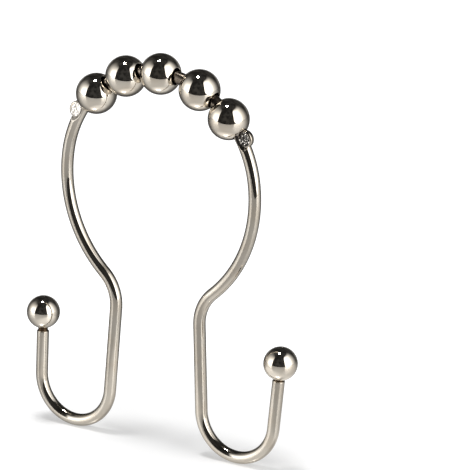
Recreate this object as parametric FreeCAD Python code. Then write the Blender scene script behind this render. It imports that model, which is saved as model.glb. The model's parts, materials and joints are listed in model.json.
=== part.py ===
import FreeCAD, Part
import math
import os

# A double shower curtain hook, in millimetres. One round wire is bent in the XZ plane: an arch
# over the curtain rod, a flank and a neck bend on each side, a straight leg, and a U that ends in
# a ball. Five bored balls roll on the arch between two ears pinched in the wire.
# The origin is the centre of the arch, +Z is up, and the rod runs along Y.

# Wire
wire_d = 2.8
arch_r = 24.7            # arch, to the wire's centre
arch_half_deg = 81.0     # from the top of the arch to where the flank starts
flank_r = 29.75          # flatter curve below the arch
flank_deg = 56.7
slant_length = 1.1       # straight run between flank and neck bend
neck_r = 9.5             # bend that turns the slant into the leg
leg_length = 20.0
u_r = 9.45               # U bend, to the wire's centre

# The two sides were bent one after the other and differ a little. A lean is measured from
# upright: a leg's foot stands further out than its top, and a tip limb leans out, or in if negative.
left_leg_lean_deg = 4.1
right_leg_lean_deg = 2.7
left_tip_lean_deg = -1.3
right_tip_lean_deg = 5.2
left_tip_length = 9.9    # straight run of full wire above the U
right_tip_length = 11.4

# Tip balls on turned spigots
tip_ball_d = 7.6
spigot_d = 2.2
left_spigot_gap = 0.6    # bare spigot between the wire's end and the ball
right_spigot_gap = 0.1   # this ball was pressed further on
spigot_seat = 3.2        # depth of the ball's blind bore
end_chamfer = 0.15

# Rollers
roller_d = 9.2
roller_count = 5
roller_gap = 0.1         # between neighbouring balls, measured at their full diameter
roller_play = 1.1        # free length of the row, seen between the third and fourth rollers
roller_clearance = 0.25  # least radial room between the bent wire and the bore
roller_rim = 0.15        # rounding of the bore's edges
left_roller_count = 3    # rollers to the left of the free length
row_shift = 0.45         # the row's middle lies this far to the right of the top

# Ears pinched in the wire as stops for the rollers
ear_gap = 0.12           # from the nearer end roller's bore rim to the ear
ear_length = 3.7         # along the wire
ear_width = 3.6          # across the wire
ear_catch = 1.0          # how far the ear reaches over the ball, past the bore's edge
ear_thickness = 1.4
ear_round = 0.35
punch_length = 3.4       # flat left by the pinching tool, along the wire
punch_width = 2.5        # the same, across the wire
punch_slope = 1.0        # how much the press mark widens towards the wire's surface

axis_y = FreeCAD.Vector(0, 1, 0)
sides = {
    "left": (-1, left_leg_lean_deg, left_tip_lean_deg, left_tip_length),
    "right": (1, right_leg_lean_deg, right_tip_lean_deg, right_tip_length),
}
spigot_gaps = {"left": left_spigot_gap, "right": right_spigot_gap}


def runs(side):
    """The wire's half from the top to its end, as (length, bend per mm); a positive bend turns down."""
    sign, leg_lean_deg, tip_lean_deg, tip_length = sides[side]
    heading = arch_half_deg + flank_deg
    leg_heading = 90 - leg_lean_deg
    u_turn = leg_heading + 90 - tip_lean_deg
    return [
        (arch_r * math.radians(arch_half_deg), 1 / arch_r),
        (flank_r * math.radians(flank_deg), 1 / flank_r),
        (slant_length, 0),
        (neck_r * math.radians(heading - leg_heading), -1 / neck_r),
        (leg_length, 0),
        (u_r * math.radians(u_turn), -1 / u_r),
        (tip_length, 0),
    ]


def half_length(side):
    """Length of full wire from the top to the end."""
    return sum(length for length, bend in runs(side))


def station(side, distance):
    """Point and direction on the wire's centre line, this far from the top."""
    x, z, heading = 0.0, arch_r, 0.0
    remaining = distance
    for length, bend in runs(side):
        step = min(remaining, length)
        if bend:
            x += (math.sin(heading + bend * step) - math.sin(heading)) / bend
            z += (math.cos(heading + bend * step) - math.cos(heading)) / bend
        else:
            x += step * math.cos(heading)
            z -= step * math.sin(heading)
        heading += bend * step
        remaining -= step
        if remaining <= 0:
            break
    sign = sides[side][0]
    point = FreeCAD.Vector(sign * x, 0, z)
    direction = FreeCAD.Vector(sign * math.cos(heading), 0, -math.sin(heading))
    return point, direction


def stand_along(shape, point, direction):
    """Turns a shape made about +Z so that its axis runs along direction, and moves it to point."""
    turn = FreeCAD.Rotation(FreeCAD.Vector(0, 0, 1), direction)
    shape.Placement = FreeCAD.Placement(point, turn)
    return shape


def centre_line(side):
    """The half's arcs and straights as edges, from the top down."""
    edges = []
    start = 0.0
    for length, bend in runs(side):
        points = [station(side, start + length * share)[0] for share in (0, 0.5, 1)]
        curve = Part.Arc(*points) if bend else Part.LineSegment(points[0], points[2])
        edges.append(curve.toShape())
        start += length
    return edges


def swept_wire():
    """Round bar along both halves."""
    halves = []
    for side in sides:
        top, direction = station(side, 0)
        profile = Part.Wire(Part.makeCircle(wire_d / 2, top, direction))
        path = Part.Wire(centre_line(side))
        halves.append(path.makePipe(Part.Face(profile)))
    return halves[0].fuse(halves[1])


def wire_end(side):
    """Chamfered end of the wire and the spigot that carries the tip ball."""
    end, direction = station(side, half_length(side))
    chamfer = Part.makeCone(wire_d / 2, wire_d / 2 - end_chamfer, end_chamfer)
    spigot = Part.makeCylinder(spigot_d / 2, end_chamfer + spigot_gaps[side] + spigot_seat)
    return stand_along(chamfer.fuse(spigot), end, direction)


def oval(length, width, along, across, centre):
    """Closed ellipse in the XZ plane."""
    if length >= width:
        ellipse = Part.Ellipse(centre + along * (length / 2), centre + across * (width / 2), centre)
    else:
        ellipse = Part.Ellipse(centre + across * (width / 2), centre + along * (length / 2), centre)
    return Part.Wire(ellipse.toShape())


def arch_bow():
    """How far the arch rises over the length of a roller."""
    return arch_r - math.sqrt(arch_r ** 2 - (roller_d / 2) ** 2)


def bore_r():
    """Radius of a roller's straight bore, which clears the bent wire inside it."""
    return wire_d / 2 + arch_bow() / 2 + roller_clearance


def bore_half_length():
    """From the ball's centre to either rim of its bore."""
    return math.sqrt((roller_d / 2) ** 2 - bore_r() ** 2)


def roller_step():
    """Length of wire from one roller's centre to the next, where no play lies between them."""
    seat_circle_r = arch_r - arch_bow() / 2
    return 2 * arch_r * math.asin((roller_d + roller_gap) / (2 * seat_circle_r))


def row_length():
    """From the first roller's centre to the last one's, along the wire."""
    return (roller_count - 1) * roller_step() + roller_play


def roller_places():
    """Distances of the rollers from the top, negative to the left."""
    first = row_shift - row_length() / 2
    return [first + i * roller_step() + (roller_play if i >= left_roller_count else 0)
            for i in range(roller_count)]


def signed_station(distance):
    """Station on the left half for a negative distance, with the direction always to the right."""
    if distance < 0:
        point, direction = station("left", -distance)
        return point, direction * -1
    return station("right", distance)


def roller_seat(distance):
    """A roller's centre and axis. It sits half the wire's bow inside the arch, so the bore clears
    the wire's middle and its ends alike."""
    point, direction = signed_station(distance)
    outward = direction.cross(axis_y)
    return point - outward * (arch_bow() / 2), direction


def roller(distance):
    """Bored ball with its two rims rounded."""
    ball = Part.makeSphere(roller_d / 2)
    bored = ball.cut(Part.makeCylinder(bore_r(), 2 * roller_d, FreeCAD.Vector(0, 0, -roller_d)))
    rims = [edge for edge in bored.Edges if edge.Closed and edge.BoundBox.ZLength < roller_rim]
    point, direction = roller_seat(distance)
    return stand_along(bored.makeFillet(roller_rim, rims), point, direction)


def ear_distance():
    """Ear's centre from the top of the arch, along the wire. At the radius of the bore's edge the
    ear starts one gap past the rim of the end roller that the row's shift brings nearer. Both
    sides are alike."""
    half_reach = ear_length / 2 * math.sqrt(1 - (1 - 2 * ear_catch / ear_width) ** 2)
    rim_circle_r = arch_r + bore_r()
    last_roller = (row_length() / 2 + abs(row_shift)) / arch_r
    rim = last_roller + math.atan2(bore_half_length(), rim_circle_r)
    return arch_r * (rim + (ear_gap + half_reach) / rim_circle_r)


def ear_frame(side):
    """Centre of the ear, and the directions along and across the wire."""
    ear_out = bore_r() + ear_catch - ear_width / 2
    point, along = station(side, ear_distance())
    outward = along.cross(axis_y) * sides[side][0]
    return point + outward * ear_out, along, outward


def ear(side):
    """Flat oval ear with rounded rims."""
    centre, along, across = ear_frame(side)
    outline = oval(ear_length, ear_width, along, across, centre - axis_y * (ear_thickness / 2))
    plate = Part.Face(outline).extrude(axis_y * ear_thickness)
    rims = [edge for edge in plate.Edges if edge.BoundBox.YLength < ear_thickness / 2]
    return plate.makeFillet(ear_round, rims)


def press_marks(side):
    """The two volumes that the pinching tool pushes flat, front and back. Each widens outwards
    from the level of the ear's face, and ends well clear of the wire."""
    centre, along, across = ear_frame(side)
    level = ear_thickness / 2
    spread = punch_slope * (wire_d - level)
    marks = []
    for face in (-1, 1):
        bottom = oval(punch_length, punch_width, along, across, centre + axis_y * (face * level))
        top = oval(punch_length + 2 * spread, punch_width + 2 * spread,
                   along, across, centre + axis_y * (face * wire_d))
        marks.append(Part.makeLoft([bottom, top], True, True))
    return marks


def wire_frame():
    """The whole wire, pinched at the two ears and turned down at its ends."""
    bar = swept_wire()
    for side in sides:
        for mark in press_marks(side):
            bar = bar.cut(mark)
        bar = bar.fuse([ear(side), wire_end(side)])
    return bar.removeSplitter()


def tip_ball(side):
    """Ball with a blind bore on the wire's spigot."""
    end, direction = station(side, half_length(side))
    seat_r = spigot_d / 2
    mouth = math.sqrt((tip_ball_d / 2) ** 2 - seat_r ** 2)
    ball = Part.makeSphere(tip_ball_d / 2)
    bottom = FreeCAD.Vector(0, 0, -tip_ball_d / 2)
    bore = Part.makeCylinder(seat_r, tip_ball_d / 2 - mouth + spigot_seat, bottom)
    centre = end + direction * (end_chamfer + spigot_gaps[side] + tip_ball_d / 2)
    return stand_along(ball.cut(bore), centre, direction)


def save(name, shape):
    """Writes the sub-part and prints what it holds."""
    solid = shape.Solids[0]
    print(name, "solids", len(shape.Solids), "volume", round(solid.Volume, 2), "valid", solid.isValid())
    solid.exportStep("parts/" + name + ".step")


os.makedirs("parts", exist_ok=True)
save("wire_frame", wire_frame())
for number, distance in enumerate(roller_places(), start=1):
    save("roller_ball_" + str(number), roller(distance))
for side in sides:
    save("tip_ball_" + side, tip_ball(side))
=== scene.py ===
import json
import math

import bpy
import numpy as np
from bpy.props import FloatProperty, FloatVectorProperty, PointerProperty
from mathutils import Matrix, Vector


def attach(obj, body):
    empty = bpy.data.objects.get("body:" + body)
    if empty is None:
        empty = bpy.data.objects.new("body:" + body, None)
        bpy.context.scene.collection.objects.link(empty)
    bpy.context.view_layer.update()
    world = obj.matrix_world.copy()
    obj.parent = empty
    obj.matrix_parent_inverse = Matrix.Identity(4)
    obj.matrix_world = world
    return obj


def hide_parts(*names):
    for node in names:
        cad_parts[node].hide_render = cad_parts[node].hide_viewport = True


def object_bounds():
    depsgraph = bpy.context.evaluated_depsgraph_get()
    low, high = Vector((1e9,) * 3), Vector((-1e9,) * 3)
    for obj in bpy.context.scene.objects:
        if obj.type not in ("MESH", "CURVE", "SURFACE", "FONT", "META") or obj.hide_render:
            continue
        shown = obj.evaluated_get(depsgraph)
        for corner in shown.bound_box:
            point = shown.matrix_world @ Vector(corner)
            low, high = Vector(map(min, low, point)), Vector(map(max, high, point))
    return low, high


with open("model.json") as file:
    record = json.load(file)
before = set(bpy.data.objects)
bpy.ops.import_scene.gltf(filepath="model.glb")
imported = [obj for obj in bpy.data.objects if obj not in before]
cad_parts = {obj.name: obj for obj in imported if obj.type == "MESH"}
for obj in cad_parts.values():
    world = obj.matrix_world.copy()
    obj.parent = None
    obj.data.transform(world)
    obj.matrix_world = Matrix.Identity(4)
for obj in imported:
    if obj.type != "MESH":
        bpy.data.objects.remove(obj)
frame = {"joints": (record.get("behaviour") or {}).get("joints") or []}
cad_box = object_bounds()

bl_info = {
    "name": "Double Shower Curtain Hook",
    "version": (1, 0, 0),
    "blender": (4, 5, 0),
    "location": "3D View > Sidebar > Curtain Hook",
    "description": "Makes a double shower curtain hook of polished wire and balls, and a plain studio",
    "category": "Add Mesh",
}

MM = 0.001

# How finely the surfaces are divided
RING_POINTS = 128           # round the wire
RING_CROWDING = 0.45        # draws the ring's points towards the outer side, where the ears' rims are
BEND_STEP = math.radians(2)
EAR_HALF_SPAN = 2.5 * MM    # stretch of wire that an ear shapes, either side of its middle
EAR_STEP = 0.04 * MM
EAR_HALVINGS = 26           # halvings that find the pinched surface on a ray
STATION_DIGITS = 8          # of a metre, to which the rings' places are rounded
PLAIN_END = 0.6 * MM        # full wire that the profile of an end starts with
BALL_POINTS = 128           # round a ball's bore
BALL_ARC_POINTS = 97        # from rim to rim
BORE_POINTS = 9             # from one rim of a bore to the other
RIM_POINTS = 9
CORNER_POINTS = 5
POLE_SIZE = 1e-9            # a row of points that is smaller than this is one point

# How the finish lies on the pieces
PRESS_SLANT = 0.14, -0.3    # rise of a pressed face's shine along the wire and outwards across it
PRESS_FADE = 1.02, 0.94     # shares of a pressed face's oval between which its finish comes in
WIRE_HAIRLINES = 60.0, 1 / (0.12 * MM), 1 / (0.12 * MM)   # to the metre, along and across the wire
BALL_HAIRLINES = 1 / (0.5 * MM), 1 / (0.5 * MM), 1 / (0.5 * MM)
CLOUD_RANGE = 0.35, 0.75    # noise between which the plate goes from clean to warm
HAZE_RANGE = 0.45, 0.8      # noise between which haze roughens the polish
HAIRLINE_RANGE = 0.6, 0.8   # noise between which a hairline roughens it

# The camera, as the photograph's fit gave it
PHOTO_PIXELS = 470
CAMERA_FOCAL_PIXELS = 3300
HOOK_IN_CAMERA = (-0.016675, 0.011737, 0.728893)   # origin to the right, up and ahead of the camera

# The floor, in metres from the origin
FLOOR_REACH = 3.0           # to either side and behind the hook
POOL_EDGE = 66 * MM, 84 * MM   # where the painted pool of light round the hook ends, and where painted light lifts the floor's outer shadow
FLOOR_ROUGHNESS = 0.24
FLOOR_IOR = 2.1             # high, because the floor mirrors much light at a low angle
FLOOR_MOTTLE = 0.985        # shade of the floor's darker patches
PAINTED_FLOOR_SHADE = -0.1, 0.75   # cosines from straight back between which painted shade darkens the mirrored floor

# The softboxes and their hot cores, in degrees from the camera's side and above the horizon
LEFT_BOX = {"Middle": 111, "Half Width": 52, "Middle Rise": 22.5, "Half Height": 34.5,
            "Fade From": 58, "Fade To": 143, "Top From": 14, "Top To": 60}
LEFT_CORE = {"Middle": 84, "Half Width": 23, "Middle Rise": 11, "Half Height": 23,
             "Fade From": 70, "Fade To": 108, "Top From": 8, "Top To": 32}
RIGHT_BOX = {"Middle": 88, "Half Width": 59, "Middle Rise": 25, "Half Height": 37,
             "Fade From": 40, "Fade To": 131, "Top From": 46, "Top To": 67}
RIGHT_CORE = {"Middle": 60, "Half Width": 28, "Middle Rise": 18, "Half Height": 30,
              "Fade From": 50, "Fade To": 92, "Top From": 18, "Top To": 46}

SOFTBOX_EDGE = 1.15, 0.85   # sums of powers between which a softbox comes in

# How uneven the room is: a range of noise, and the shares of the room's brightness at its ends
ROOM_NOISE = 0.35, 0.7
ROOM_LEVELS = 0.6, 1.9

# The backdrop's light, in the softboxes' degrees
BACKDROP_SIDES = 120, 160   # where it comes in on either side
BACKDROP_TOP = 22           # where it is gone


# Sizes and colours that a user may change

def length(name, description, millimetres):
    """A size that the panel shows as a length."""
    return FloatProperty(name=name, description=description, default=millimetres * MM, min=0.0,
                         unit="LENGTH", precision=5)


def angle(name, description, degrees):
    """An angle, kept in radians and shown in degrees."""
    return FloatProperty(name=name, description=description, default=math.radians(degrees),
                         subtype="ANGLE", unit="ROTATION")


def colour(name, description, *rgb):
    """A linear colour."""
    return FloatVectorProperty(name=name, description=description, default=rgb, size=3,
                               subtype="COLOR", min=0.0, max=1.0)


def amount(name, description, value, most=1.0):
    """A plain number from zero up."""
    return FloatProperty(name=name, description=description, default=value, min=0.0, max=most,
                         precision=4)


class CurtainHookWire(bpy.types.PropertyGroup):
    """The bent wire. Its centre line lies in the XZ plane, with the arch's centre at the origin."""
    wire_d: length("Wire diameter", "Diameter of the round wire", 2.8)
    arch_r: length("Arch radius", "Radius of the arch, to the wire's centre", 24.7)
    arch_half: angle("Arch half angle", "From the top of the arch to where the flank starts", 81.0)
    flank_r: length("Flank radius", "Radius of the flatter curve below the arch", 29.75)
    flank_turn: angle("Flank turn", "Angle of the flank's curve", 56.7)
    slant_length: length("Slant length", "Straight run between flank and neck bend", 1.1)
    neck_r: length("Neck radius", "Radius of the bend that turns the slant into the leg", 9.5)
    leg_length: length("Leg length", "Straight leg above the U", 20.0)
    u_r: length("U radius", "Radius of the U bend, to the wire's centre", 9.45)
    left_leg_lean: angle("Left leg lean", "How far the left leg's foot stands out", 4.1)
    right_leg_lean: angle("Right leg lean", "How far the right leg's foot stands out", 2.7)
    left_tip_lean: angle("Left tip lean", "How far the left tip leans out", -1.3)
    right_tip_lean: angle("Right tip lean", "How far the right tip leans out", 5.2)
    left_tip_length: length("Left tip length", "Straight run above the left U", 9.9)
    right_tip_length: length("Right tip length", "Straight run above the right U", 11.4)
    end_chamfer: length("End chamfer", "Chamfer on the wire's ends", 0.15)
    spigot_d: length("Spigot diameter", "Turned pin that carries a tip ball", 2.2)
    left_spigot_gap: length("Left spigot gap", "Bare pin below the left ball", 0.6)
    right_spigot_gap: length("Right spigot gap", "Bare pin below the right ball", 0.1)
    spigot_seat: length("Spigot seat", "Length of pin inside the ball", 3.2)
    broken_edge: length("Broken edge", "How far the polishing rounds the turned edges", 0.05)


class CurtainHookEars(bpy.types.PropertyGroup):
    """The two flat ears pinched in the wire, which stop the rollers."""
    distance: length("Distance", "Along the wire from the top of the arch to the ear", 25.408)
    offset: length("Offset", "From the wire's centre out to the ear's centre", 1.066)
    length: length("Length", "Length of the ear along the wire", 3.7)
    width: length("Width", "Width of the ear across the wire", 3.6)
    thickness: length("Thickness", "Thickness between the pressed faces", 1.4)
    rounding: length("Rounding", "Radius of the ear's rims", 0.35)
    punch_length: length("Punch length", "Pressed face along the wire", 3.4)
    punch_width: length("Punch width", "Pressed face across the wire", 2.5)
    punch_slope: amount("Punch slope", "How much the press mark widens outwards", 1.0, 4.0)
    blend: length("Blend", "Softness of the corners that the press leaves", 0.1)


class CurtainHookBalls(bpy.types.PropertyGroup):
    """The rollers on the arch and the balls on the two tips."""
    roller_d: length("Roller diameter", "Diameter of the rollers", 9.2)
    bore_d: length("Bore diameter", "Diameter of a roller's bore", 3.732)
    roller_rim: length("Roller rim", "Rounding of the bore's edges", 0.15)
    tip_ball_d: length("Tip ball diameter", "Diameter of the balls on the tips", 7.6)
    mouth_rim: length("Mouth rim", "Rounding of a tip ball's edge round its pin", 0.1)


class CurtainHookFinish(bpy.types.PropertyGroup):
    """Polished nickel plate."""
    tone: colour("Nickel", "Colour of the clean plate", 0.705, 0.65, 0.565)
    warm_tone: colour("Warm nickel", "Colour where the plate is thinner", 0.67, 0.595, 0.495)
    wire_shade: amount("Wire shade", "How bright the wire's plate is beside the balls'", 0.73)
    raw_tone: colour("Pressed metal", "Colour of the ears' pressed faces", 0.55, 0.52, 0.48)
    # The bare tone is bare metal's colour, darkened with painted shade where the pins' necks and the
    # bores sit in shade.
    bare_tone_with_painted_shade: colour("Bare metal", "Colour of the bores and pins", 0.07, 0.045, 0.026)
    # Arch wear is both wear and painted shade: through the bare tone it darkens the arch between the
    # rollers.
    arch_wear_and_painted_shade: amount("Arch wear", "How bare the rollers have worn the arch", 0.75)
    ball_roughness: amount("Ball roughness", "Roughness of the balls' best polish", 0.035)
    wire_roughness: amount("Wire roughness", "Roughness of the wire's best polish", 0.06)
    raw_roughness: amount("Pressed roughness", "Roughness of the ears' pressed faces", 0.2)
    bare_roughness: amount("Bare roughness", "Roughness of the bores and pins", 0.25)


class CurtainHookStudio(bpy.types.PropertyGroup):
    """Floor, lights and camera."""
    floor: colour("Floor", "Colour of the pale floor", 0.72, 0.72, 0.72)
    floor_edge: length("Floor edge", "From the origin to the floor's edge on the camera's side", 290.0)
    camera_turn: angle("Camera turn", "Camera's azimuth round the hook", 31.661)
    camera_rise: angle("Camera rise", "Camera's height above the horizon", 16.253)
    camera_roll: angle("Camera roll", "Camera's roll", 1.245)
    left_box: amount("Left softbox", "Brightness of the left softbox", 2.2, 20.0)
    right_box: amount("Right softbox", "Brightness of the right softbox", 2.5, 20.0)
    core: amount("Cores", "Brightness that each softbox has more at its core", 1.6, 20.0)
    backdrop: amount("Backdrop", "Brightness of the mirrored backdrop behind the hook", 0.25, 20.0)
    room: amount("Room", "Brightness of the mirrored dark room", 0.03, 20.0)
    floor_lift: amount("Floor lift", "White that the camera sees on the floor near the hook", 0.42, 4.0)
    # Past the pool's edge the far lift is painted light that fades the outer part of the hook's shadow.
    far_lift: amount("Far lift", "White that it sees away from the hook", 0.75, 4.0)
    # The mirrored lift is a painted pool of light in the metal's reflection of the floor round the
    # hook.
    painted_light_pool: amount("Mirrored lift", "White that the metal mirrors near the hook", 0.38, 4.0)
    # The far floor's share is painted shade in the metal's reflection of the floor behind the hook.
    far_floor_painted_shade: amount("Far floor", "Share of the floor's colour that it mirrors behind the hook", 0.15)
    top_lamp: amount("Top lamp", "Power of the overhead lamp, in watts", 10.0, 100.0)
    lamp_size: length("Lamp size", "Diameter of the overhead lamp", 210.0)
    lamp_height: length("Lamp height", "From the origin up to the overhead lamp", 1200.0)
    lamp_aside: length("Lamp aside", "From above the origin to the lamp, to the camera's left", 150.0)


# Shapes

def side_runs(wire, side):
    """One half of the centre line from the top to its end, as rows of length and bend per metre.
    A positive bend turns down."""
    leg_lean = getattr(wire, side + "_leg_lean")
    tip_lean = getattr(wire, side + "_tip_lean")
    heading = wire.arch_half + wire.flank_turn
    leg_heading = math.pi / 2 - leg_lean
    return np.array([
        (wire.arch_r * wire.arch_half, 1 / wire.arch_r),
        (wire.flank_r * wire.flank_turn, 1 / wire.flank_r),
        (wire.slant_length, 0.0),
        (wire.neck_r * (heading - leg_heading), -1 / wire.neck_r),
        (wire.leg_length, 0.0),
        (wire.u_r * (leg_heading + math.pi / 2 - tip_lean), -1 / wire.u_r),
        (getattr(wire, side + "_tip_length"), 0.0),
    ])


def along_run(start, run, step):
    """x, z and heading after a step along a run. On an arc of bend b the heading h grows by b times
    the step, x by the difference of sin h over b, and z by the difference of cos h over b."""
    x, z, heading = start
    bend = run[..., 1]
    bent = bend != 0
    divisor = np.where(bent, bend, 1.0)
    turned = heading + bend * step
    dx = np.where(bent, (np.sin(turned) - np.sin(heading)) / divisor, step * np.cos(heading))
    dz = np.where(bent, (np.cos(turned) - np.cos(heading)) / divisor, -step * np.sin(heading))
    return np.array([x + dx, z + dz, turned])


def centre_line(wire, side, distance):
    """Points on one half's centre line and its directions away from the top, at an array of
    distances from the top. Past the end the last straight run goes on."""
    runs = side_runs(wire, side)
    starts = [np.array([0.0, wire.arch_r, 0.0])]
    for run in runs[:-1]:
        starts.append(along_run(starts[-1], run, run[0]))
    begins = np.concatenate([[0.0], np.cumsum(runs[:-1, 0])])
    on = np.clip(np.searchsorted(begins, distance, side="right") - 1, 0, len(runs) - 1)
    x, z, heading = along_run(np.array(starts)[on].T, runs[on], distance - begins[on])
    sign = 1 if side == "right" else -1
    level = np.zeros_like(x)
    points = np.stack([sign * x, level, z], -1)
    directions = np.stack([sign * np.cos(heading), level, -np.sin(heading)], -1)
    return points, directions


def softened(corners, reach):
    """A profile whose inner corners are short parabolas, from one reach before a corner to one
    reach after it."""
    before, corner, after = corners[:-2], corners[1:-1], corners[2:]

    def towards(other):
        away = other - corner
        return corner + away * (reach / np.linalg.norm(away, axis=-1, keepdims=True))

    t = np.linspace(0, 1, CORNER_POINTS)[None, :, None]
    bends = ((1 - t) ** 2 * towards(before)[:, None] + 2 * t * (1 - t) * corner[:, None]
             + t ** 2 * towards(after)[:, None])
    return np.concatenate([corners[:1], bends.reshape(-1, 2), corners[-1:]])


def wire_end_profile(wire, side):
    """Distance past the end of the full wire, and radius: full wire, chamfer, shoulder and pin."""
    pin = wire.spigot_d / 2
    tip = wire.end_chamfer + getattr(wire, side + "_spigot_gap") + wire.spigot_seat
    corners = np.array([
        (-PLAIN_END, wire.wire_d / 2),
        (0.0, wire.wire_d / 2),
        (wire.end_chamfer, wire.wire_d / 2 - wire.end_chamfer),
        (wire.end_chamfer, pin),
        (tip, pin),
        (tip, 0.0),
    ])
    return softened(corners, wire.broken_edge)


def side_stations(wire, ears, side):
    """Distances from the top at which a half of the wire gets a ring, and the radii there. Bends
    get a ring every few degrees, the ear one every few hundredths of a millimetre."""
    runs = side_runs(wire, side)
    begins = np.concatenate([[0.0], np.cumsum(runs[:, 0])])
    steps = np.maximum(1, np.ceil(runs[:, 0] * np.abs(runs[:, 1]) / BEND_STEP)).astype(int)
    plain = np.concatenate([np.linspace(begin, begin + run[0], count + 1)
                            for begin, run, count in zip(begins, runs, steps)])
    ear = ears.distance + np.arange(-EAR_HALF_SPAN, EAR_HALF_SPAN, EAR_STEP)
    inside = np.abs(plain - ears.distance) < EAR_HALF_SPAN
    distance = np.unique(np.round(np.concatenate([plain[~inside], ear]), STATION_DIGITS))
    end = wire_end_profile(wire, side)
    distance = distance[distance < begins[-1] + end[0, 0]]
    radius = np.full(len(distance), wire.wire_d / 2)
    return np.concatenate([distance, begins[-1] + end[:, 0]]), np.concatenate([radius, end[:, 1]])


def soft_max(a, b, blend):
    """The larger of two fields, with the corner between them rounded. Where they differ by less
    than the blend, the square of the share by which it is less, times a quarter of the blend, is
    added."""
    h = np.maximum(blend - np.abs(a - b), 0) / blend
    return np.maximum(a, b) + h * h * blend / 4


def ear_field(wire, ears, along, across, up):
    """Below zero inside the pinched wire, about the distance to its surface in metres. It is the
    round wire less the two press marks, joined to a flat oval plate with rounded rims. A press mark
    is flat inside an oval, and rises outside it by its slope."""
    level = ears.thickness / 2
    out = across - ears.offset
    mark = np.hypot(along / (ears.punch_length / 2), out / (ears.punch_width / 2)) - 1
    floor = level + np.maximum(mark, 0) * (ears.punch_width / 2) / ears.punch_slope
    pressed = soft_max(np.hypot(across, up) - wire.wire_d / 2, np.abs(up) - floor, ears.blend)
    oval = np.hypot(along / (ears.length / 2), out / (ears.width / 2)) - 1
    side = oval * ears.width / 2 + ears.rounding
    face = np.abs(up) - level + ears.rounding
    plate = (np.hypot(np.maximum(side, 0), np.maximum(face, 0))
             + np.minimum(np.maximum(side, face), 0) - ears.rounding)
    return -soft_max(-pressed, -plate, ears.blend)


def ear_rings(wire, ears, along, theta):
    """Radii of the pinched wire's rings. Each ray from the wire's centre is halved again and again
    between a point inside the metal and one outside it."""
    along = along[:, None]
    inner = np.zeros((len(along), len(theta.T)))
    outer = np.full_like(inner, ears.offset + ears.width)
    for _ in range(EAR_HALVINGS):
        middle = (inner + outer) / 2
        inside = ear_field(wire, ears, along, middle * np.cos(theta), middle * np.sin(theta)) < 0
        inner, outer = np.where(inside, middle, inner), np.where(inside, outer, middle)
    return inner


def wire_surface(wire, ears, arch_wear_and_painted_shade):
    """Rings round the bent centre line, from the left pin's tip to the right one's. A ring point is the
    centre plus its radius times the cosine of its angle outwards and the sine along Y. Gives the grid
    and its marks: the same points with the wire unrolled straight, and where it is bare, on the pins
    and the worn arch, which also marks where painted shade goes."""
    phi = np.linspace(0, 2 * math.pi, RING_POINTS, endpoint=False)
    theta = (phi - RING_CROWDING * np.sin(phi))[None, :]
    parts = []
    for side, sign in (("left", -1), ("right", 1)):
        distance, ring_r = side_stations(wire, ears, side)
        centre, direction = centre_line(wire, side, distance)
        outward = np.cross(direction * sign, (0, 1, 0))
        radius = np.repeat(ring_r[:, None], RING_POINTS, 1)
        near = np.abs(distance - ears.distance) <= EAR_HALF_SPAN
        radius[near] = ear_rings(wire, ears, distance[near] - ears.distance, theta)
        across, up = radius * np.cos(theta), radius * np.sin(theta)
        grid = centre[:, None] + across[..., None] * outward[:, None]
        grid[..., 1] += up
        straight = np.stack([np.broadcast_to(sign * distance[:, None], across.shape), across, up], -1)
        # The pins and the worn arch take the bare tone, which also paints shade on the pins' necks and
        # in the gaps between the rollers.
        pin = distance > side_runs(wire, side)[:, 0].sum() + wire.end_chamfer
        worn = np.clip((ears.distance - EAR_HALF_SPAN - distance) / MM, 0, 1) * arch_wear_and_painted_shade
        bare = np.repeat(np.where(pin, 1.0, worn)[:, None], RING_POINTS, 1)
        order = slice(None, None, -1) if side == "left" else slice(1, None)
        parts.append([part[order] for part in (grid, straight, bare)])
    grid, unrolled, bare = (np.concatenate(pair) for pair in zip(*parts))
    return grid, {"unrolled": unrolled, "bare": bare}


def rim_arc(ball_r, bore_r, rim_r):
    """Where the bore meets the ball: an arc that touches both, as rows of radius and height, from
    the bore out to the ball. Its centre is one rim radius outside the bore and inside the ball."""
    centre_r = bore_r + rim_r
    centre_x = math.sqrt((ball_r - rim_r) ** 2 - centre_r ** 2)
    turn = np.linspace(math.pi, math.atan2(centre_x, centre_r), RIM_POINTS)
    return np.stack([centre_r + rim_r * np.cos(turn), centre_x + rim_r * np.sin(turn)], -1)


def ball_arc(ball_r, from_x, to_x):
    """Part of the ball's outline between two heights, at even angles: the ball's radius times the
    angle's cosine and sine."""
    turn = np.linspace(math.asin(from_x / ball_r), math.asin(to_x / ball_r), BALL_ARC_POINTS)[1:-1]
    return np.stack([ball_r * np.cos(turn), ball_r * np.sin(turn)], -1)


def roller_profile(balls):
    """Closed outline of a bored ball, as rows of radius and height, and which rows are bare bore."""
    ball_r, bore_r = balls.roller_d / 2, balls.bore_d / 2
    rim = rim_arc(ball_r, bore_r, balls.roller_rim)
    low = rim[::-1] * (1, -1)
    heights = np.linspace(-rim[0, 1], rim[0, 1], BORE_POINTS)[1:-1]
    bore = np.stack([np.full_like(heights, bore_r), heights], -1)
    outline = np.concatenate([bore, rim, ball_arc(ball_r, rim[-1, 1], low[0, 1]), low])
    bare = np.zeros(len(outline))
    # The bore's rows are bare, so the bare tone also paints shade into the bore.
    bare[:len(bore) + 2] = bare[-2:] = 1
    return outline, bare


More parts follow.
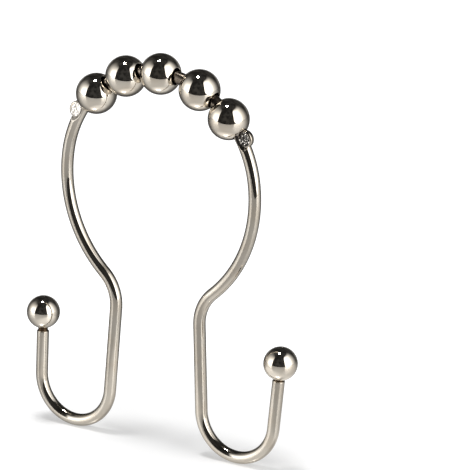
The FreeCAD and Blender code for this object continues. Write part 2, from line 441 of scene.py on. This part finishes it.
def tip_ball_profile(wire, balls):
    """Outline of a ball with a blind bore, from the pole away from the wire to the bore's bottom."""
    ball_r, pin_r = balls.tip_ball_d / 2, wire.spigot_d / 2
    rim = rim_arc(ball_r, pin_r, balls.mouth_rim)[::-1] * (1, -1)
    mouth = math.sqrt(ball_r ** 2 - pin_r ** 2)
    bottom = wire.spigot_seat - mouth
    outline = np.concatenate([[(0.0, ball_r)], ball_arc(ball_r, ball_r, rim[0, 1]), rim,
                              [(pin_r, bottom), (0.0, bottom)]])
    bare = np.zeros(len(outline))
    # The blind bore is bare, so the bare tone also paints shade into it.
    bare[-4:] = 1
    return outline, bare


def revolved(outline, centre, axis):
    """Turns an outline of radius and height about an axis. A point is the centre, plus its height
    along the axis, plus its radius times the cosine of the turn one way and the sine the other."""
    side = np.array([0.0, 1.0, 0.0])
    other = np.cross(axis, side)
    turn = np.linspace(0, 2 * math.pi, BALL_POINTS, endpoint=False)
    ring = np.cos(turn)[:, None] * side + np.sin(turn)[:, None] * other
    return centre + outline[:, 1, None, None] * axis + outline[:, 0, None, None] * ring[None]


def grid_faces(rows, columns, closed):
    """Quads of a grid that wraps round its columns, and round its rows too if closed."""
    row = np.arange(rows if closed else rows - 1)[:, None]
    column = np.arange(columns)[None, :]
    here, there = row * columns, (row + 1) % rows * columns
    beside = (column + 1) % columns
    quads = np.stack([here + column, there + column, there + beside, here + beside], -1)
    return quads.reshape(-1, 4).tolist()


def pole_faces(ring, pole, columns, inward):
    """Triangles from a ring to its pole."""
    column = np.arange(columns)
    a, b = ring * columns + column, ring * columns + (column + 1) % columns
    fan = np.stack([a, b, np.full(columns, pole)] if inward else [b, a, np.full(columns, pole)], -1)
    return fan.tolist()


def surface_piece(name, grid, marks):
    """Makes a mesh object of a grid of points. Rows that shrink to a point at either end become
    single poles. The marks, numbers or vectors over the grid, become attributes of the mesh."""
    rows, columns, _ = grid.shape
    poled = [np.ptp(grid[end], axis=0).max() < POLE_SIZE for end in (0, -1)]
    first, last = int(poled[0]), rows - int(poled[1])
    body = slice(first, last)
    count = (last - first) * columns
    ends = ([0] if poled[0] else []) + ([rows - 1] if poled[1] else [])

    def flat(values):
        kept = values[body].reshape(count, -1)
        return np.concatenate([kept] + [values[end, :1].reshape(1, -1) for end in ends])

    faces = grid_faces(last - first, columns, closed=not any(poled))
    if poled[0]:
        faces += pole_faces(0, count, columns, inward=False)
    if poled[1]:
        faces += pole_faces(last - first - 1, count + len(ends) - 1, columns, inward=True)
    mesh = bpy.data.meshes.new(name)
    mesh.from_pydata(flat(grid).tolist(), [], faces)
    if mesh.validate():
        raise RuntimeError(name + " has faulty faces")
    mesh.shade_smooth()
    for label, values in marks.items():
        kind, field = ("FLOAT_VECTOR", "vector") if values.ndim == 3 else ("FLOAT", "value")
        mesh.attributes.new(label, kind, "POINT").data.foreach_set(field, flat(values).ravel())
    piece = bpy.data.objects.new(name, mesh)
    bpy.context.scene.collection.objects.link(piece)
    return piece


# Materials

def feed(tree, socket, value):
    """Links an input to another node's output, or sets it to a plain value."""
    if isinstance(value, bpy.types.NodeSocket):
        tree.links.new(value, socket)
    else:
        socket.default_value = value


def node(tree, kind, sockets=None, **settings):
    """Adds a node with its settings, then feeds its inputs, by name or by number."""
    made = tree.nodes.new(kind)
    for name, value in settings.items():
        setattr(made, name, value)
    for key, value in (sockets or {}).items():
        feed(tree, made.inputs[key], value)
    return made


def calculate(tree, operation, *values):
    """A Math node's result."""
    return node(tree, "ShaderNodeMath", dict(enumerate(values)), operation=operation).outputs[0]


def map_range(tree, value, low, high, to_low=0.0, to_high=1.0):
    """A value's smooth climb from low to high."""
    sockets = {"Value": value, "From Min": low, "From Max": high, "To Min": to_low, "To Max": to_high}
    return node(tree, "ShaderNodeMapRange", sockets, interpolation_type="SMOOTHSTEP").outputs["Result"]


def new_group(name, inputs, outputs):
    """An empty shader node group with named sockets, and its two end nodes."""
    tree = bpy.data.node_groups.new(name, "ShaderNodeTree")
    for label, kind in inputs.items():
        tree.interface.new_socket(label, in_out="INPUT", socket_type="NodeSocket" + kind)
    for label, kind in outputs.items():
        tree.interface.new_socket(label, in_out="OUTPUT", socket_type="NodeSocket" + kind)
    return tree, tree.nodes.new("NodeGroupInput").outputs, tree.nodes.new("NodeGroupOutput").inputs


def mix_colours(tree, share, first, second):
    """A colour between two, by share."""
    mix = node(tree, "ShaderNodeMix", {0: share}, data_type="RGBA")
    colours = [socket for socket in mix.inputs if socket.type == "RGBA"]
    for socket, value in zip(colours, (first, second)):
        feed(tree, socket, value)
    return next(socket for socket in mix.outputs if socket.type == "RGBA")


def plating_group():
    """Plate of uneven thickness: broad clouds from the clean tone to a warm one, the raw tone where the
    metal is pressed, and the bare tone where it has no plate. The bare tone is bare metal's colour
    darkened with painted shade, on the pins' necks, the bores and the arch between the rollers."""
    tree, given, result = new_group(
        "Nickel plating",
        {"Position": "Vector", "Cloud Scale": "Float", "Tone": "Color", "Warm Tone": "Color",
         "Raw Tone": "Color", "Bare Tone": "Color", "Raw": "Float", "Bare": "Float"},
        {"Color": "Color"})
    clouds = node(tree, "ShaderNodeTexNoise",
                  {"Vector": given["Position"], "Scale": given["Cloud Scale"], "Detail": 3.0})
    share = map_range(tree, clouds.outputs["Fac"], *CLOUD_RANGE)
    plate = mix_colours(tree, share, given["Tone"], given["Warm Tone"])
    pressed = mix_colours(tree, given["Raw"], plate, given["Raw Tone"])
    tree.links.new(mix_colours(tree, given["Bare"], pressed, given["Bare Tone"]), result["Color"])
    return tree


def polish_group():
    """Polished metal under the buffing wheel: haze that varies the roughness, hairlines, and a slow
    wave of the surface. Pressed metal is rougher and pitted, bare metal rougher. Heights are in
    metres."""
    tree, given, result = new_group(
        "Buffed surface",
        {"Position": "Vector", "Haze Scale": "Float", "Best": "Float", "Raw Roughness": "Float",
         "Bare Roughness": "Float", "Wave Scale": "Float", "Wave Height": "Float",
         "Hairline Stretch": "Vector", "Hairline Height": "Float", "Pit Scale": "Float",
         "Pit Height": "Float", "Raw": "Float", "Bare": "Float"},
        {"Roughness": "Float", "Height": "Float"})
    haze = node(tree, "ShaderNodeTexNoise",
                {"Vector": given["Position"], "Scale": given["Haze Scale"], "Detail": 4.0})
    wave = node(tree, "ShaderNodeTexNoise",
                {"Vector": given["Position"], "Scale": given["Wave Scale"], "Detail": 1.0})
    stretched = node(tree, "ShaderNodeVectorMath",
                     {0: given["Position"], 1: given["Hairline Stretch"]}, operation="MULTIPLY")
    hairlines = node(tree, "ShaderNodeTexNoise",
                     {"Vector": stretched.outputs[0], "Scale": 1.0, "Detail": 2.0})
    pits = node(tree, "ShaderNodeTexVoronoi",
                {"Vector": given["Position"], "Scale": given["Pit Scale"], "Randomness": 1.0},
                feature="SMOOTH_F1")
    hazed = calculate(tree, "MULTIPLY_ADD", map_range(tree, haze.outputs["Fac"], *HAZE_RANGE),
                      given["Best"], given["Best"])
    scored = calculate(tree, "MULTIPLY_ADD",
                       map_range(tree, hairlines.outputs["Fac"], *HAIRLINE_RANGE), given["Best"], hazed)
    roughness = scored
    for share, most in (("Raw", "Raw Roughness"), ("Bare", "Bare Roughness")):
        rougher = calculate(tree, "SUBTRACT", given[most], roughness)
        roughness = calculate(tree, "MULTIPLY_ADD", rougher, given[share], roughness)
    waves = calculate(tree, "MULTIPLY", wave.outputs["Fac"], given["Wave Height"])
    lines = calculate(tree, "MULTIPLY_ADD", hairlines.outputs["Fac"], given["Hairline Height"], waves)
    pitted = calculate(tree, "MULTIPLY", pits.outputs["Distance"], given["Pit Height"])
    height = calculate(tree, "MULTIPLY_ADD", pitted, given["Raw"], lines)
    tree.links.new(roughness, result["Roughness"])
    tree.links.new(height, result["Height"])
    return tree


def linear(tone, shade=1.0):
    """A colour with its alpha, darkened by a shade."""
    return (*(shade * value for value in tone), 1.0)


def pressed_share(tree, position, ears):
    """One on the ears' pressed faces and zero elsewhere. A place on the unrolled wire is pressed
    where its steps from the ear's centre, as shares of the oval's half axes, have a length below
    one."""
    parts = node(tree, "ShaderNodeSeparateXYZ", {0: position}).outputs
    along = calculate(tree, "SUBTRACT", calculate(tree, "ABSOLUTE", parts["X"]), ears.distance)
    across = calculate(tree, "SUBTRACT", parts["Y"], ears.offset)
    shares = node(tree, "ShaderNodeCombineXYZ",
                  {"X": calculate(tree, "DIVIDE", along, ears.punch_length / 2),
                   "Y": calculate(tree, "DIVIDE", across, ears.punch_width / 2)}).outputs[0]
    mark = node(tree, "ShaderNodeVectorMath", {0: shares}, operation="LENGTH").outputs["Value"]
    return map_range(tree, mark, *PRESS_FADE)


def slanted_normal(tree, position, raw):
    """Normal of pressed faces that aren't quite level. There the height grows along the wire away
    from the top, and falls outwards across it. Elsewhere the normal stays as it is."""
    parts = node(tree, "ShaderNodeSeparateXYZ", {0: position}).outputs
    along = calculate(tree, "MULTIPLY", calculate(tree, "ABSOLUTE", parts["X"]), PRESS_SLANT[0])
    ramp = calculate(tree, "MULTIPLY_ADD", parts["Y"], PRESS_SLANT[1], along)
    tilted = node(tree, "ShaderNodeBump",
                  {"Height": ramp, "Strength": 1.0, "Distance": 1.0}).outputs["Normal"]
    plain = node(tree, "ShaderNodeNewGeometry").outputs["Normal"]
    turn = node(tree, "ShaderNodeVectorMath", {0: tilted, 1: plain}, operation="SUBTRACT").outputs[0]
    share = node(tree, "ShaderNodeCombineXYZ", {"X": raw, "Y": raw, "Z": raw}).outputs[0]
    mixed = node(tree, "ShaderNodeVectorMath", {0: turn, 1: share, 2: plain}, operation="MULTIPLY_ADD")
    return node(tree, "ShaderNodeVectorMath", {0: mixed.outputs[0]}, operation="NORMALIZE").outputs[0]


def nickel_material(name, finish, best, shade, stretch, ears=None):
    """Polished nickel. With ears the pattern follows the unrolled wire, and their pressed faces are
    slanted. Without them it stays put in the ball."""
    material = bpy.data.materials.new(name)
    material.use_nodes = True
    tree = material.node_tree
    tree.nodes.clear()
    if ears:
        position = node(tree, "ShaderNodeAttribute", attribute_name="unrolled").outputs["Vector"]
        raw = pressed_share(tree, position, ears)
    else:
        position = node(tree, "ShaderNodeTexCoord").outputs["Object"]
        raw = 0.0
    # Where it is bare, the bare tone also paints shade: on the pins' necks, in the bores and on the
    # arch between the rollers.
    bare = node(tree, "ShaderNodeAttribute", attribute_name="bare").outputs["Fac"]
    plating = node(
        tree, "ShaderNodeGroup",
        {"Position": position, "Raw": raw, "Bare": bare, "Cloud Scale": 1 / (5 * MM),
         "Tone": linear(finish.tone, shade), "Warm Tone": linear(finish.warm_tone, shade),
         "Raw Tone": linear(finish.raw_tone), "Bare Tone": linear(finish.bare_tone_with_painted_shade)},
        node_tree=bpy.data.node_groups["Nickel plating"])
    buffed = node(
        tree, "ShaderNodeGroup",
        {"Position": position, "Raw": raw, "Bare": bare, "Haze Scale": 1 / (3 * MM), "Best": best,
         "Raw Roughness": finish.raw_roughness, "Bare Roughness": finish.bare_roughness,
         "Wave Scale": 1 / (4 * MM), "Wave Height": 0.008 * MM, "Hairline Stretch": stretch,
         "Hairline Height": 0.0004 * MM, "Pit Scale": 1 / (0.45 * MM), "Pit Height": 0.16 * MM},
        node_tree=bpy.data.node_groups["Buffed surface"])
    bump = node(tree, "ShaderNodeBump",
                {"Height": buffed.outputs["Height"], "Strength": 1.0, "Distance": 1.0})
    if ears:
        tree.links.new(slanted_normal(tree, position, raw), bump.inputs["Normal"])
    metal = node(tree, "ShaderNodeBsdfPrincipled",
                 {"Base Color": plating.outputs["Color"], "Metallic": 1.0,
                  "Roughness": buffed.outputs["Roughness"], "Normal": bump.outputs["Normal"]})
    node(tree, "ShaderNodeOutputMaterial", {"Surface": metal.outputs["BSDF"]})
    return material


def shared_groups():
    """The node groups that both nickel materials use, made once."""
    if "Nickel plating" not in bpy.data.node_groups:
        plating_group()
        polish_group()


def floor_material(studio):
    """Pale satin floor that keeps the hook's shadow. To the camera it is lifted to white, and more so
    far from the hook, where the lift is painted light over the outer part of the shadow. In the metal
    it carries a painted pool of light round the hook, and painted shade behind it. From below it isn't
    seen."""
    material = bpy.data.materials.new("pale_floor")
    material.use_nodes = True
    tree = material.node_tree
    tree.nodes.clear()
    place = node(tree, "ShaderNodeTexCoord").outputs["Object"]
    mottle = node(tree, "ShaderNodeTexNoise", {"Vector": place, "Scale": 40.0, "Detail": 2.0})
    tone = mix_colours(tree, mottle.outputs["Fac"], linear(studio.floor),
                       linear(studio.floor, FLOOR_MOTTLE))
    rays = node(tree, "ShaderNodeLightPath").outputs
    reach = node(tree, "ShaderNodeVectorMath", {0: place}, operation="LENGTH").outputs["Value"]
    # Camera's white lift: less near the hook, and more past the pool's edge, where it is painted light
    # over the outer part of the hook's shadow.
    white = map_range(tree, reach, *POOL_EDGE, studio.floor_lift, studio.far_lift)
    seen = calculate(tree, "MULTIPLY", rays["Is Camera Ray"], white)
    mirrored = calculate(tree, "MAXIMUM", rays["Is Glossy Ray"], rays["Is Transmission Ray"])
    # Painted shade: behind the hook the mirrored floor darkens, and its colour falls to the far floor's
    # share.
    behind = node(tree, "ShaderNodeVectorMath",
                  {0: place, 1: (-math.sin(studio.camera_turn), math.cos(studio.camera_turn), 0.0)},
                  operation="DOT_PRODUCT").outputs["Value"]
    backward = calculate(tree, "DIVIDE", behind, reach)
    dark = calculate(tree, "MULTIPLY", map_range(tree, backward, *PAINTED_FLOOR_SHADE), mirrored)
    # Painted pool of light round the hook, which only the metal mirrors.
    pool = map_range(tree, reach, *POOL_EDGE, studio.painted_light_pool, 0.0)
    lift = calculate(tree, "MULTIPLY_ADD", calculate(tree, "SUBTRACT", mirrored, dark), pool, seen)
    tone_with_painted_shade = mix_colours(tree, dark, tone, linear(studio.floor, studio.far_floor_painted_shade))
    paper = node(tree, "ShaderNodeBsdfPrincipled",
                 {"Base Color": tone_with_painted_shade, "Roughness": FLOOR_ROUGHNESS, "IOR": FLOOR_IOR})
    glow = node(tree, "ShaderNodeEmission", {"Color": (1.0, 1.0, 1.0, 1.0), "Strength": lift})
    lit = node(tree, "ShaderNodeAddShader", {0: paper.outputs["BSDF"], 1: glow.outputs["Emission"]})
    clear = node(tree, "ShaderNodeBsdfTransparent")
    under = calculate(tree, "MULTIPLY", rays["Is Camera Ray"],
                      node(tree, "ShaderNodeNewGeometry").outputs["Backfacing"])
    shown = node(tree, "ShaderNodeMixShader", {0: under, 1: lit.outputs[0], 2: clear.outputs[0]})
    node(tree, "ShaderNodeOutputMaterial", {"Surface": shown.outputs[0]})
    return material


def softbox_group():
    """A softbox seen from the hook: a rounded patch of sky whose light fades to the far side and
    to the top. Angles are from the camera's side, in radians. The patch is the superellipse where
    the fourth powers of both shares add up to less than one."""
    tree, given, result = new_group(
        "Softbox",
        {"Azimuth": "Float", "Rise": "Float", "Middle": "Float", "Half Width": "Float",
         "Middle Rise": "Float", "Half Height": "Float", "Fade From": "Float", "Fade To": "Float",
         "Top From": "Float", "Top To": "Float"},
        {"Light": "Float"})
    beside = calculate(tree, "DIVIDE", calculate(tree, "SUBTRACT", given["Azimuth"], given["Middle"]),
                       given["Half Width"])
    above = calculate(tree, "DIVIDE", calculate(tree, "SUBTRACT", given["Rise"], given["Middle Rise"]),
                      given["Half Height"])
    powers = calculate(tree, "ADD",
                       calculate(tree, "POWER", calculate(tree, "ABSOLUTE", beside), 4.0),
                       calculate(tree, "POWER", calculate(tree, "ABSOLUTE", above), 4.0))
    patch = map_range(tree, powers, *SOFTBOX_EDGE)
    far = map_range(tree, given["Azimuth"], given["Fade To"], given["Fade From"])
    top = map_range(tree, given["Rise"], given["Top To"], given["Top From"])
    light = calculate(tree, "MULTIPLY", calculate(tree, "MULTIPLY", patch, far), top)
    tree.links.new(light, result["Light"])
    return tree


def studio_world(studio):
    """Dark uneven room with a softbox either side of the camera and a low bright backdrop behind
    the hook. The camera itself sees plain white."""
    world = bpy.data.worlds.new("plain_studio")
    bpy.context.scene.world = world
    world.use_nodes = True
    tree = world.node_tree
    tree.nodes.clear()
    turn = studio.camera_turn
    way = node(tree, "ShaderNodeTexCoord").outputs["Generated"]
    rightwards = node(tree, "ShaderNodeVectorMath", {0: way, 1: (math.cos(turn), math.sin(turn), 0.0)},
                      operation="DOT_PRODUCT").outputs["Value"]
    cameraward = node(tree, "ShaderNodeVectorMath", {0: way, 1: (math.sin(turn), -math.cos(turn), 0.0)},
                      operation="DOT_PRODUCT").outputs["Value"]
    up = node(tree, "ShaderNodeSeparateXYZ", {0: way}).outputs["Z"]
    azimuth = calculate(tree, "ARCTAN2", rightwards, cameraward)
    rise = calculate(tree, "ARCSINE", up)
    left_azimuth = calculate(tree, "MULTIPLY", azimuth, -1.0)
    clutter = node(tree, "ShaderNodeTexNoise", {"Vector": way, "Scale": 3.0, "Detail": 2.0})
    uneven = map_range(tree, clutter.outputs["Fac"], *ROOM_NOISE, *ROOM_LEVELS)
    light = calculate(tree, "MULTIPLY", uneven, studio.room)
    for around, strength, angles in ((left_azimuth, studio.left_box, LEFT_BOX),
                                     (left_azimuth, studio.core, LEFT_CORE),
                                     (azimuth, studio.right_box, RIGHT_BOX),
                                     (azimuth, studio.core, RIGHT_CORE)):
        sockets = {"Azimuth": around, "Rise": rise}
        sockets.update({label: math.radians(value) for label, value in angles.items()})
        box = node(tree, "ShaderNodeGroup", sockets, node_tree=bpy.data.node_groups["Softbox"])
        light = calculate(tree, "MULTIPLY_ADD", box.outputs["Light"], strength, light)
    behind = map_range(tree, calculate(tree, "ABSOLUTE", azimuth), *map(math.radians, BACKDROP_SIDES))
    low = map_range(tree, rise, math.radians(BACKDROP_TOP), 0.0)
    backdrop = calculate(tree, "MULTIPLY", behind, low)
    light = calculate(tree, "MULTIPLY_ADD", backdrop, studio.backdrop, light)
    room = node(tree, "ShaderNodeBackground", {"Color": (1.0, 1.0, 1.0, 1.0), "Strength": light})
    white = node(tree, "ShaderNodeBackground", {"Color": (1.0, 1.0, 1.0, 1.0), "Strength": 1.0})
    seen = node(tree, "ShaderNodeLightPath").outputs["Is Camera Ray"]
    shown = node(tree, "ShaderNodeMixShader", {0: seen, 1: room.outputs[0], 2: white.outputs[0]})
    node(tree, "ShaderNodeOutputWorld", {"Surface": shown.outputs[0]})


# Operators

class HookOperator:
    """What every operator here shares."""
    bl_options = {"REGISTER", "UNDO"}

    def dress(self, piece, material, body, slot, cad_node):
        """Gives a piece its finish, lets it ride on its body and hides its CAD node."""
        piece.data.materials.append(material)
        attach(piece, body)
        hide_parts(cad_node)


class CURTAINHOOK_OT_wire_frame(HookOperator, bpy.types.Operator):
    """Make the bent wire with its two ears and its turned pins"""
    bl_idname = "curtain_hook.wire_frame"
    bl_label = "Wire Frame"

    def execute(self, context):
        scene = context.scene
        finish = scene.hook_finish
        grid, marks = wire_surface(scene.hook_wire, scene.hook_ears, finish.arch_wear_and_painted_shade)
        piece = surface_piece("nickel_wire_frame", grid, marks)
        shared_groups()
        material = nickel_material("polished_wire", finish, finish.wire_roughness, finish.wire_shade,
                                   WIRE_HAIRLINES, scene.hook_ears)
        self.dress(piece, material, "frame", "nickel_wire", "wire_frame")
        return {"FINISHED"}


class CURTAINHOOK_OT_rollers(HookOperator, bpy.types.Operator):
    """Make one bored ball on each roller joint of the frame"""
    bl_idname = "curtain_hook.rollers"
    bl_label = "Rollers"

    def execute(self, context):
        outline, bare = roller_profile(context.scene.hook_balls)
        material = ball_material(context.scene)
        spins = [joint for joint in frame["joints"] if joint["child"].startswith("roller_")]
        if not spins:
            raise RuntimeError("the frame has no roller joints")
        for joint in spins:
            number = joint["child"].removeprefix("roller_")
            axis = np.array(joint["axis"])
            grid = revolved(outline, np.array(joint["pos_m"]), axis / np.linalg.norm(axis))
            marks = {"bare": np.repeat(bare[:, None], BALL_POINTS, 1)}
            piece = surface_piece("nickel_roller_" + number, grid, marks)
            self.dress(piece, material, joint["child"], "nickel_ball", "roller_ball_" + number)
        return {"FINISHED"}


class CURTAINHOOK_OT_tip_balls(HookOperator, bpy.types.Operator):
    """Make the two balls on the wire's tips"""
    bl_idname = "curtain_hook.tip_balls"
    bl_label = "Tip Balls"

    def execute(self, context):
        scene = context.scene
        wire, balls = scene.hook_wire, scene.hook_balls
        outline, bare = tip_ball_profile(wire, balls)
        material = ball_material(scene)
        for side in ("left", "right"):
            end = side_runs(wire, side)[:, 0].sum()
            reach = wire.end_chamfer + getattr(wire, side + "_spigot_gap") + balls.tip_ball_d / 2
            centre, direction = centre_line(wire, side, np.array([end + reach]))
            grid = revolved(outline, centre[0], direction[0])
            marks = {"bare": np.repeat(bare[:, None], BALL_POINTS, 1)}
            piece = surface_piece("nickel_tip_ball_" + side, grid, marks)
            self.dress(piece, material, "frame", "nickel_ball", "tip_ball_" + side)
        return {"FINISHED"}


def ball_material(scene):
    """The balls' nickel, made once."""
    shared_groups()
    finish = scene.hook_finish
    return bpy.data.materials.get("polished_ball") or nickel_material(
        "polished_ball", finish, finish.ball_roughness, 1.0, BALL_HAIRLINES)


class CURTAINHOOK_OT_studio(HookOperator, bpy.types.Operator):
    """Make the floor, the lights and the camera"""
    bl_idname = "curtain_hook.studio"
    bl_label = "Studio"

    def execute(self, context):
        scene = context.scene
        studio = scene.hook_studio
        self.floor(studio)
        if "Softbox" not in bpy.data.node_groups:
            softbox_group()
        studio_world(studio)
        self.lamp(studio)
        self.camera(scene, studio)
        scene.view_settings.view_transform = "Standard"
        return {"FINISHED"}

    def floor(self, studio):
        """Wide floor under the lowest point, square to the camera, with a near edge."""
        turn = studio.camera_turn
        right = np.array([math.cos(turn), math.sin(turn)])
        away = np.array([-math.sin(turn), math.cos(turn)])
        near, far = -studio.floor_edge, FLOOR_REACH
        corners = [(-far, near), (far, near), (far, far), (-far, far)]
        points = [(*(a * right + b * away), cad_box[0].z) for a, b in corners]
        mesh = bpy.data.meshes.new("floor")
        mesh.from_pydata(points, [], [(0, 1, 2, 3)])
        mesh.materials.append(floor_material(studio))
        floor = bpy.data.objects.new("floor", mesh)
        bpy.context.scene.collection.objects.link(floor)

    def lamp(self, studio):
        """Round lamp above the hook, a little to the camera's left."""
        light = bpy.data.lights.new("top_lamp", "AREA")
        light.shape = "DISK"
        light.size = studio.lamp_size
        light.energy = studio.top_lamp
        lamp = bpy.data.objects.new("top_lamp", light)
        turn = studio.camera_turn
        lamp.location = (-math.cos(turn) * studio.lamp_aside, -math.sin(turn) * studio.lamp_aside,
                         studio.lamp_height)
        lamp.visible_camera = False
        bpy.context.scene.collection.objects.link(lamp)

    def camera(self, scene, studio):
        """Camera at the fitted place: the axes are turned, then rolled about the line of sight."""
        turn, rise, roll = studio.camera_turn, studio.camera_rise, studio.camera_roll
        right = Vector((math.cos(turn), math.sin(turn), 0.0))
        sight = Vector((-math.sin(turn) * math.cos(rise), math.cos(turn) * math.cos(rise),
                        -math.sin(rise)))
        top = right.cross(sight)
        rolled_right = right * math.cos(roll) + top * math.sin(roll)
        rolled_top = top * math.cos(roll) - right * math.sin(roll)
        data = bpy.data.cameras.new("photo_camera")
        data.sensor_width = 36.0
        data.lens = CAMERA_FOCAL_PIXELS / PHOTO_PIXELS * data.sensor_width
        data.clip_start, data.clip_end = 0.01, 20.0
        camera = bpy.data.objects.new("photo_camera", data)
        axes = Matrix((rolled_right, rolled_top, -sight)).transposed()
        x, y, z = HOOK_IN_CAMERA
        camera.matrix_world = Matrix.Translation(
            -(rolled_right * x + rolled_top * y + sight * z)) @ axes.to_4x4()
        scene.collection.objects.link(camera)
        scene.camera = camera


# Panel and registration

class CURTAINHOOK_PT_parts(bpy.types.Panel):
    """Sizes, finish and studio of the hook, and the operators that make it"""
    bl_idname = "CURTAINHOOK_PT_parts"
    bl_label = "Curtain Hook"
    bl_space_type = "VIEW_3D"
    bl_region_type = "UI"
    bl_category = "Curtain Hook"

    def draw(self, context):
        for title, operators, group_name in PANEL_ROWS:
            box = self.layout.box()
            box.label(text=title)
            group = getattr(context.scene, group_name)
            for name in group.bl_rna.properties.keys():
                if name not in ("rna_type", "name"):
                    box.prop(group, name)
            for operator in operators:
                box.operator(operator.bl_idname)


MAKERS = (
    CURTAINHOOK_OT_studio,
    CURTAINHOOK_OT_wire_frame,
    CURTAINHOOK_OT_rollers,
    CURTAINHOOK_OT_tip_balls,
)

GROUPS = {
    "hook_wire": CurtainHookWire,
    "hook_ears": CurtainHookEars,
    "hook_balls": CurtainHookBalls,
    "hook_finish": CurtainHookFinish,
    "hook_studio": CurtainHookStudio,
}

PANEL_ROWS = (
    ("Wire", (CURTAINHOOK_OT_wire_frame,), "hook_wire"),
    ("Ears", (), "hook_ears"),
    ("Balls", (CURTAINHOOK_OT_rollers, CURTAINHOOK_OT_tip_balls), "hook_balls"),
    ("Finish", (), "hook_finish"),
    ("Studio", (CURTAINHOOK_OT_studio,), "hook_studio"),
)


def register():
    """Registers the property groups, the operators and the panel."""
    for name, group in GROUPS.items():
        bpy.utils.register_class(group)
        setattr(bpy.types.Scene, name, PointerProperty(type=group))
    for maker in MAKERS:
        bpy.utils.register_class(maker)
    bpy.utils.register_class(CURTAINHOOK_PT_parts)


def unregister():
    """Takes back what register did, in the other order."""
    bpy.utils.unregister_class(CURTAINHOOK_PT_parts)
    for maker in reversed(MAKERS):
        bpy.utils.unregister_class(maker)
    for name, group in reversed(GROUPS.items()):
        delattr(bpy.types.Scene, name)
        bpy.utils.unregister_class(group)


def main():
    """Makes the studio and every piece."""
    register()
    bpy.ops.curtain_hook.studio()
    bpy.ops.curtain_hook.wire_frame()
    bpy.ops.curtain_hook.rollers()
    bpy.ops.curtain_hook.tip_balls()


if __name__ == "__main__":
    main()
